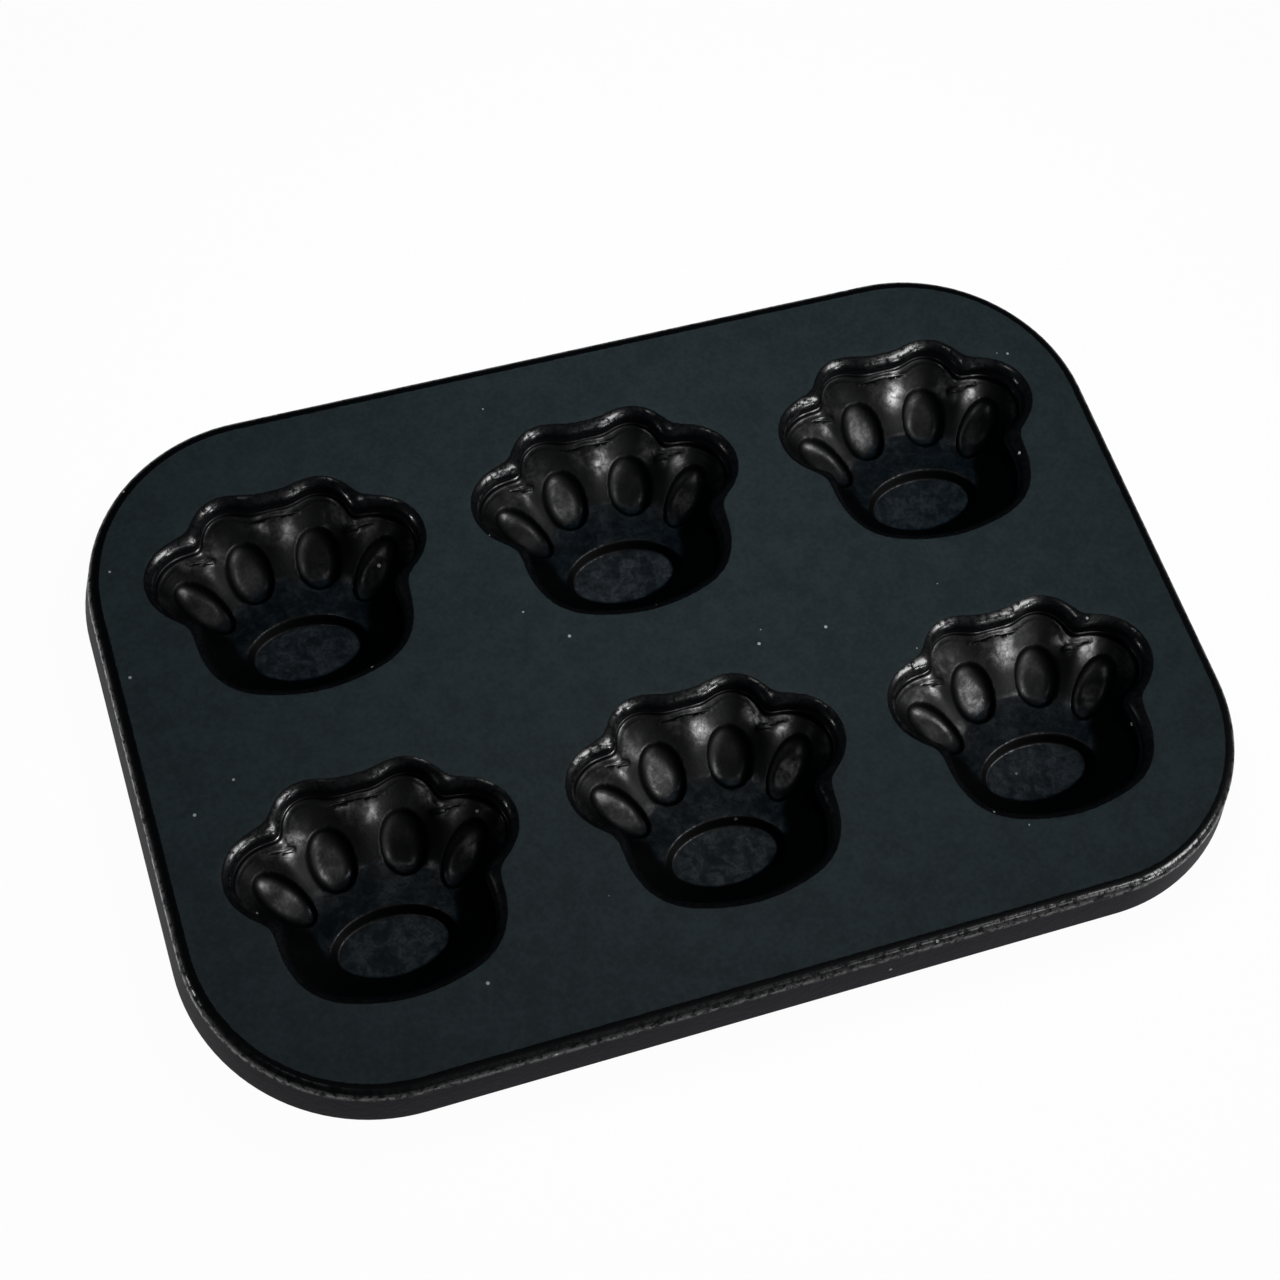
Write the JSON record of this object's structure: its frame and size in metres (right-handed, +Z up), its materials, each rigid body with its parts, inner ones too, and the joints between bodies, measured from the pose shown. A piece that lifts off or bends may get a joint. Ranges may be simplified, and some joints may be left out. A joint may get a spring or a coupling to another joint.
{
  "type": "pastry mould",
  "caption": "Oblong baking mould with paw-shaped cavities, each with a heel pad and toe pads, in a dark coated plate with large rounded corners and a turned-down, rolled edge.",
  "frame": {"origin": "centre of the mould's box at its base, on the table", "axes": "+X along the long side, +Y towards the toes of the paws, +Z up out of the cavities"},
  "size_m": [0.3038, 0.21, 0.0192],
  "materials": {
    "dark_coating": "matt dark non-stick coating with a fine pebbled grain",
    "cup_coating": "satin near-black non-stick coating",
    "wire_steel": "plain drawn wire"
  },
  "bodies": {
    "root": {"frame_plate": "dark_coating", "border_wire": "wire_steel", "paw_cup_1": "cup_coating", "paw_cup_2": "cup_coating", "paw_cup_3": "cup_coating", "paw_cup_4": "cup_coating", "paw_cup_5": "cup_coating", "paw_cup_6": "cup_coating"}
  },
  "joints": []
}
